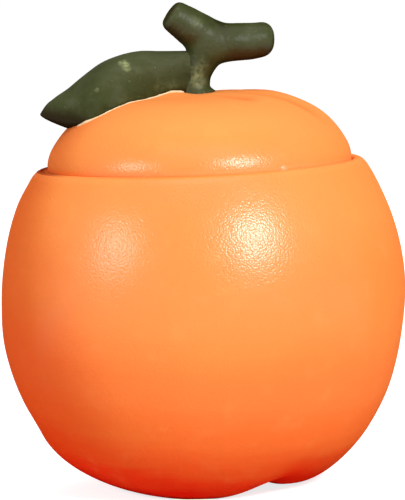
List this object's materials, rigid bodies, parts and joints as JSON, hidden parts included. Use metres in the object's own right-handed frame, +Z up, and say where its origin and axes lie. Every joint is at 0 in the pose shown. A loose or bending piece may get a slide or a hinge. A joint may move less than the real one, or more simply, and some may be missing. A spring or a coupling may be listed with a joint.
{
  "type": "tea jar",
  "caption": "Tangerine-shaped glazed ceramic tea jar with a lobed body, a domed lift-off lid with a soft seal, and a twig-and-leaf grip.",
  "frame": {"origin": "middle of the underside on the table, on the jar's axis", "axes": "+Z up along the jar's axis, +X towards the twig's long arm, -Y towards the front"},
  "size_m": [0.105, 0.105, 0.1267],
  "materials": {
    "orange_glaze": "satin, finely orange-peeled",
    "olive_glaze": "satin, mottled",
    "silicone": "matte, milky"
  },
  "bodies": {
    "jar": {"jar_body": "orange_glaze"},
    "seal": {"seal_ring": "silicone"},
    "lid": {"lid": "orange_glaze", "stem": "olive_glaze", "leaf": "olive_glaze"}
  },
  "joints": [
    {"name": "lid_lift", "type": "slide", "parent": "jar", "child": "seal", "axis": [0, 0, 1], "range_m": [0, 0.1]},
    {"name": "lid_turn", "type": "hinge", "parent": "seal", "child": "lid", "pos_m": [0, 0, 0.0848], "axis": [0, 0, 1], "continuous": true}
  ]
}
